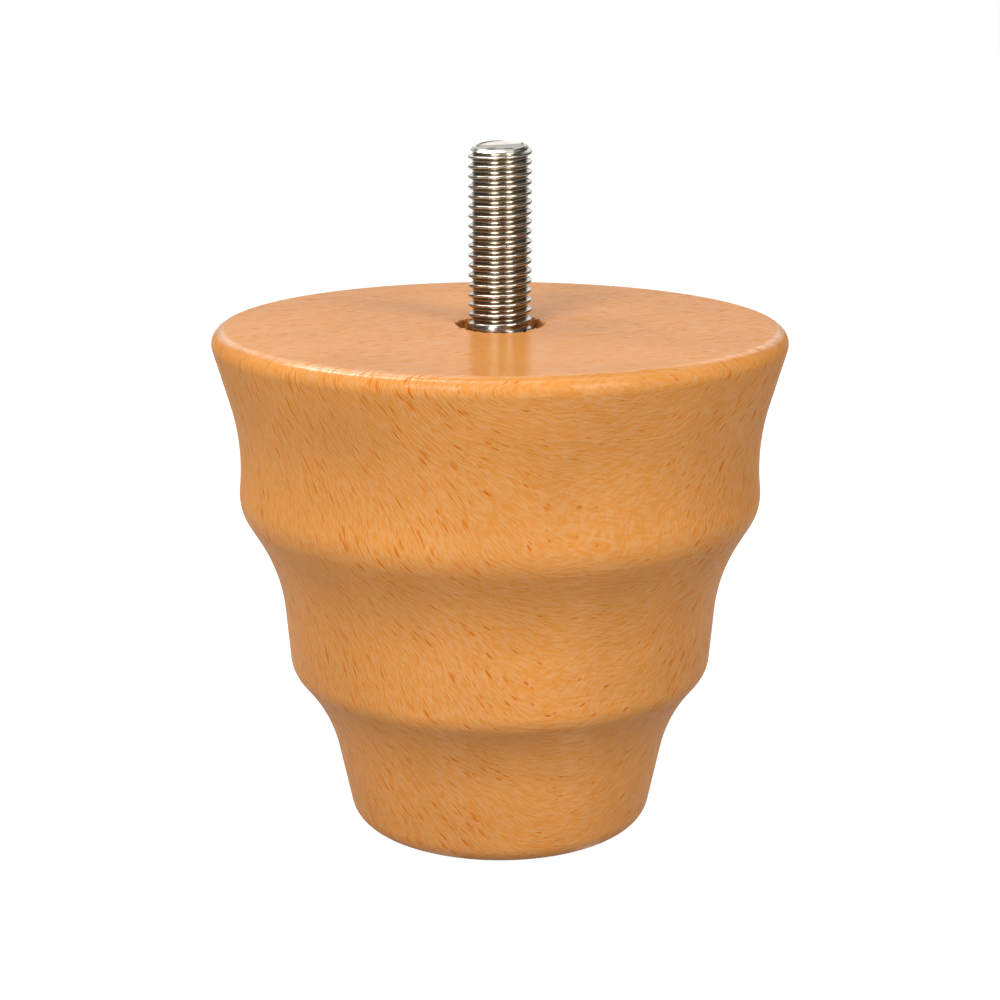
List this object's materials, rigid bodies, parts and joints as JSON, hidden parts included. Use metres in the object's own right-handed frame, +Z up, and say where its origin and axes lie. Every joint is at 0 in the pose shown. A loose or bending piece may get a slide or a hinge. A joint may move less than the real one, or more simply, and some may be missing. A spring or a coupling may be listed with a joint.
{
  "type": "furniture leg",
  "caption": "Turned wooden furniture leg: a stepped, tapering round foot with a wide flat top and a threaded steel stud standing out of it.",
  "frame": {"origin": "centre of the foot's flat face, on the floor", "axes": "+Z up along the leg's axis, from the foot to the top and the stud; the leg is round, so X and Y are free, and -Y is the side that the picture shows"},
  "size_m": [0.0884, 0.0884, 0.1077],
  "materials": {
    "lacquered_beech": "turned beech under a satin clear lacquer, with short dark flecks",
    "plated_steel": "bright plated steel, rolled thread"
  },
  "bodies": {
    "root": {"leg_body": "lacquered_beech", "hanger_bolt": "plated_steel"}
  },
  "joints": []
}
